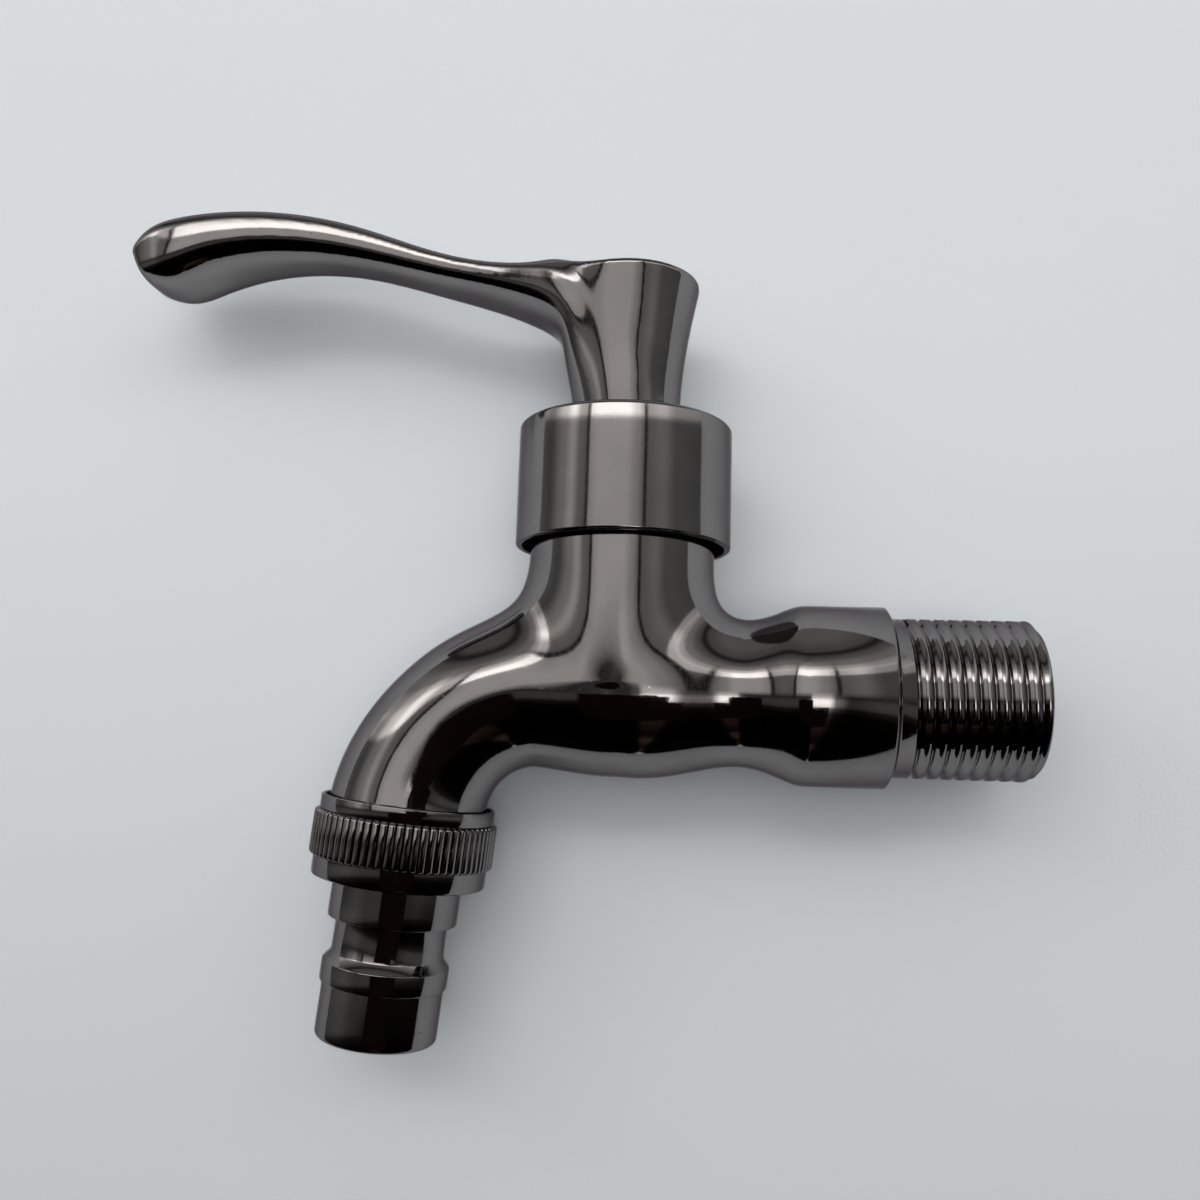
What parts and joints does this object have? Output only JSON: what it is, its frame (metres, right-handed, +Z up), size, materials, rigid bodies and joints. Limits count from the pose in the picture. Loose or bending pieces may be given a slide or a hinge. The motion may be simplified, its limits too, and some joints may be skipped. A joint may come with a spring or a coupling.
{
  "type": "bib tap",
  "caption": "Quarter-turn bib tap with a threaded wall inlet, ceramic disc headwork under a bonnet ring, swan-neck lever, and a knurled nut holding a stepped hose nozzle.",
  "frame": {"origin": "Centre of the inlet thread on its axis, at the plane where the first turn meets the plain band next to the collar.", "axes": "+X along the inlet, out towards the wall; +Z up along the spindle; the spout points to -X and down; Y completes the right-handed frame and is the part's symmetry direction at rest."},
  "size_m": [0.1259, 0.0292, 0.1146],
  "materials": {
    "plated_body": "cast brass, polished, black nickel plated",
    "plated_trim": "turned brass, fine turning marks, black nickel plated",
    "plated_lever": "cast brass lever, polished, black nickel plated",
    "headwork_brass": "turned bare brass",
    "disc_ceramic": "lapped alumina",
    "seal_rubber": "moulded nitrile rubber, satin",
    "bearing_plastic": "acetal, matt",
    "fibre_gasket": "pressed fibre, matt",
    "small_steel": "stainless steel, bright"
  },
  "bodies": {
    "body": {"tap_body": "plated_body", "cartridge_body": "headwork_brass", "headwork_gasket": "fibre_gasket", "thrust_washer": "bearing_plastic", "fixed_disc": "disc_ceramic", "seat_seal": "seal_rubber", "seal_support_ring": "bearing_plastic", "bonnet_ring": "plated_trim", "bonnet_o_ring": "seal_rubber"},
    "lever": {"lever_handle": "plated_lever", "handle_screw": "small_steel", "screw_washer": "small_steel", "handle_cap": "plated_trim", "spindle": "headwork_brass", "spindle_o_rings": "seal_rubber", "retaining_clip": "small_steel", "moving_disc": "disc_ceramic"},
    "connector": {"hose_nozzle": "plated_trim", "nozzle_washer": "seal_rubber"},
    "nut": {"hose_nut": "plated_trim"}
  },
  "joints": [
    {"name": "lever_turn", "type": "hinge", "parent": "body", "child": "lever", "pos_m": [-0.038, 0, 0.04], "axis": [0, 0, 1], "range_deg": [0, 90]},
    {"name": "connector_draw", "type": "slide", "parent": "body", "child": "connector", "axis": [-0.0941, 0, -0.9956], "range_m": [0, 0.00408]},
    {"name": "nut_turn", "type": "hinge", "parent": "connector", "child": "nut", "pos_m": [-0.06584, 0, -0.01555], "axis": [-0.0941, 0, -0.9956], "range_deg": [0, 810]}
  ],
  "couplings": [
    {"joint": "nut_turn", "follows": "connector_draw", "rad_per_m": 3463.2}
  ]
}
